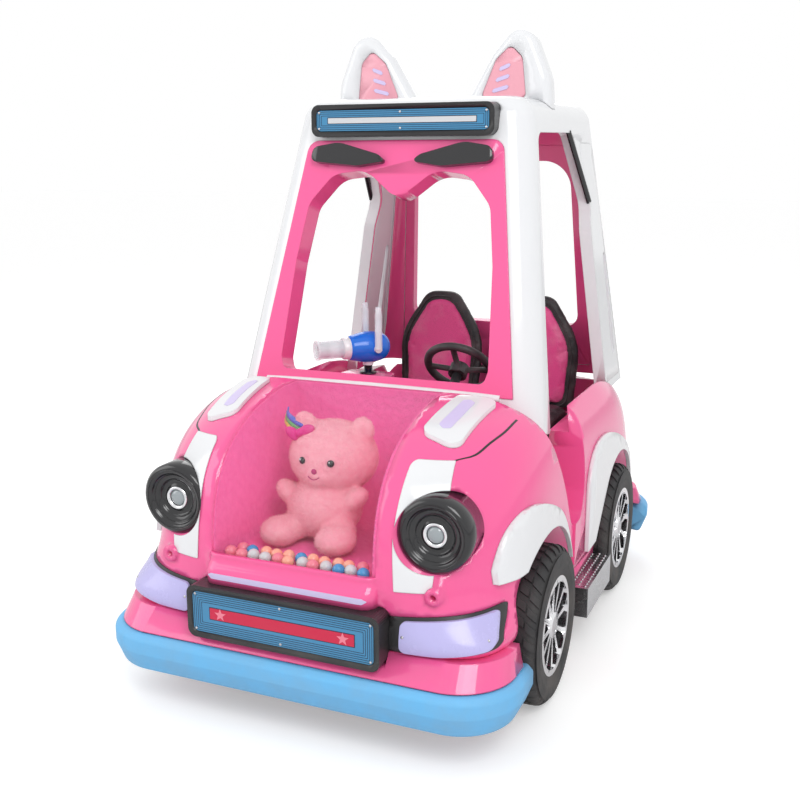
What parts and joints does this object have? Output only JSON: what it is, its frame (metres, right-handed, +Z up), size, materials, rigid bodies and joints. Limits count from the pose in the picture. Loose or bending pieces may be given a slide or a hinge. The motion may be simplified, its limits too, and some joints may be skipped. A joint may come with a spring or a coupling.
{
  "type": "electric ride-on car",
  "caption": "Two-seat electric ride-on car for indoor fairgrounds: moulded body with open cab, nose showcase, rubber bumpers, steered front wheels and driven rear axle.",
  "frame": {"origin": "on the ground under the middle of the car", "axes": "+Z up, -Y towards the nose, +X towards the driver's left, which is the steering wheel's side"},
  "size_m": [1.122, 1.65, 1.6782],
  "materials": {
    "pink_body": "gloss moulded plastic, hot pink",
    "white_cab": "gloss moulded plastic, white",
    "black_trim": "gloss black plastic",
    "blue_rubber": "matt soft rubber, light blue",
    "tyre_rubber": "matt",
    "chrome_rim": "polished",
    "steel": "black enamel",
    "bright_steel": "polished",
    "clear_cover": "clear",
    "lamp_clear": "clear white lens",
    "plush": "soft pile",
    "lining": "short pink pile",
    "seat_skin": "soft vinyl, pink",
    "seat_black": "soft vinyl, black",
    "blue_gun": "gloss blue",
    "red_lens": "clear red",
    "floor_rubber": "ribbed rubber",
    "battery_case": "matt",
    "cheek_white": "gloss white"
  },
  "bodies": {
    "car": {"arch_flares": "white_cab", "battery_block": "battery_case", "body_base": "pink_body", "brow_lamps": "black_trim", "cab_shell": "white_cab", "chassis_frame": "steel", "cheek_patches": "cheek_white", "dash_shelf": "pink_body", "ear_panels": "pink_body", "ears": "white_cab", "floor_pan": "floor_rubber", "front_axle": "steel", "front_bumper": "blue_rubber", "front_plate": "black_trim", "front_shell": "pink_body", "gun_pedestal": "black_trim", "headlamps": "black_trim", "lamp_band": "black_trim", "light_bars": "lamp_clear", "pedals": "black_trim", "quarter_handles": "white_cab", "rear_axle": "steel", "rear_bumper": "blue_rubber", "rear_shell": "pink_body", "rear_window_panel": "pink_body", "roof_sign": "black_trim", "seat_backs": "seat_skin", "seat_box": "seat_black", "seat_cushions": "seat_black", "showcase_cover": "clear_cover", "showcase_liner": "lining", "side_steps": "bright_steel", "soft_toy": "plush", "steering_column": "steel", "tail_lamps": "red_lens", "vent_pods": "white_cab", "windscreen_surround": "pink_body"},
    "wheel_front_left": {"tyre_front_left": "tyre_rubber", "rim_front_left": "chrome_rim"},
    "wheel_front_right": {"tyre_front_right": "tyre_rubber", "rim_front_right": "chrome_rim"},
    "wheel_rear_left": {"tyre_rear_left": "tyre_rubber", "rim_rear_left": "chrome_rim"},
    "wheel_rear_right": {"tyre_rear_right": "tyre_rubber", "rim_rear_right": "chrome_rim"},
    "steering_left": {"knuckle_left": "steel"},
    "steering_right": {"knuckle_right": "steel"},
    "track_rod": {"tie_rod": "steel"},
    "hand_wheel": {"steering_wheel": "black_trim"},
    "bubble_cannon": {"bubble_gun": "blue_gun"}
  },
  "joints": [
    {"name": "steer_left", "type": "hinge", "parent": "car", "child": "steering_left", "pos_m": [0.43, -0.37, 0.2], "axis": [0, 0, 1], "range_deg": [-22, 22]},
    {"name": "steer_right", "type": "hinge", "parent": "car", "child": "steering_right", "pos_m": [-0.43, -0.37, 0.2], "axis": [0, 0, 1], "range_deg": [-22, 22]},
    {"name": "track_rod_turn", "type": "hinge", "parent": "steering_left", "child": "track_rod", "pos_m": [0.43, -0.278, 0.17], "axis": [0, 0, 1], "range_deg": [-22, 22]},
    {"name": "hand_wheel_turn", "type": "hinge", "parent": "car", "child": "hand_wheel", "pos_m": [0.165, -0.085, 0.772], "axis": [0, 0.7604, 0.6494], "range_deg": [-88, 88]},
    {"name": "cannon_swivel", "type": "hinge", "parent": "car", "child": "bubble_cannon", "pos_m": [-0.11, -0.088, 0.76], "axis": [0, 0, 1], "range_deg": [-20, 20]},
    {"name": "spin_front_left", "type": "hinge", "parent": "steering_left", "child": "wheel_front_left", "pos_m": [0.488, -0.37, 0.2], "axis": [1, 0, 0], "continuous": true},
    {"name": "spin_front_right", "type": "hinge", "parent": "steering_right", "child": "wheel_front_right", "pos_m": [-0.488, -0.37, 0.2], "axis": [1, 0, 0], "continuous": true},
    {"name": "spin_rear_left", "type": "hinge", "parent": "car", "child": "wheel_rear_left", "pos_m": [0.488, 0.396, 0.2], "axis": [1, 0, 0], "continuous": true},
    {"name": "spin_rear_right", "type": "hinge", "parent": "car", "child": "wheel_rear_right", "pos_m": [-0.488, 0.396, 0.2], "axis": [1, 0, 0], "continuous": true}
  ],
  "couplings": [
    {"joint": "steer_right", "follows": "steer_left", "ratio": 1},
    {"joint": "track_rod_turn", "follows": "steer_left", "ratio": -1},
    {"joint": "hand_wheel_turn", "follows": "steer_left", "ratio": 4}
  ]
}
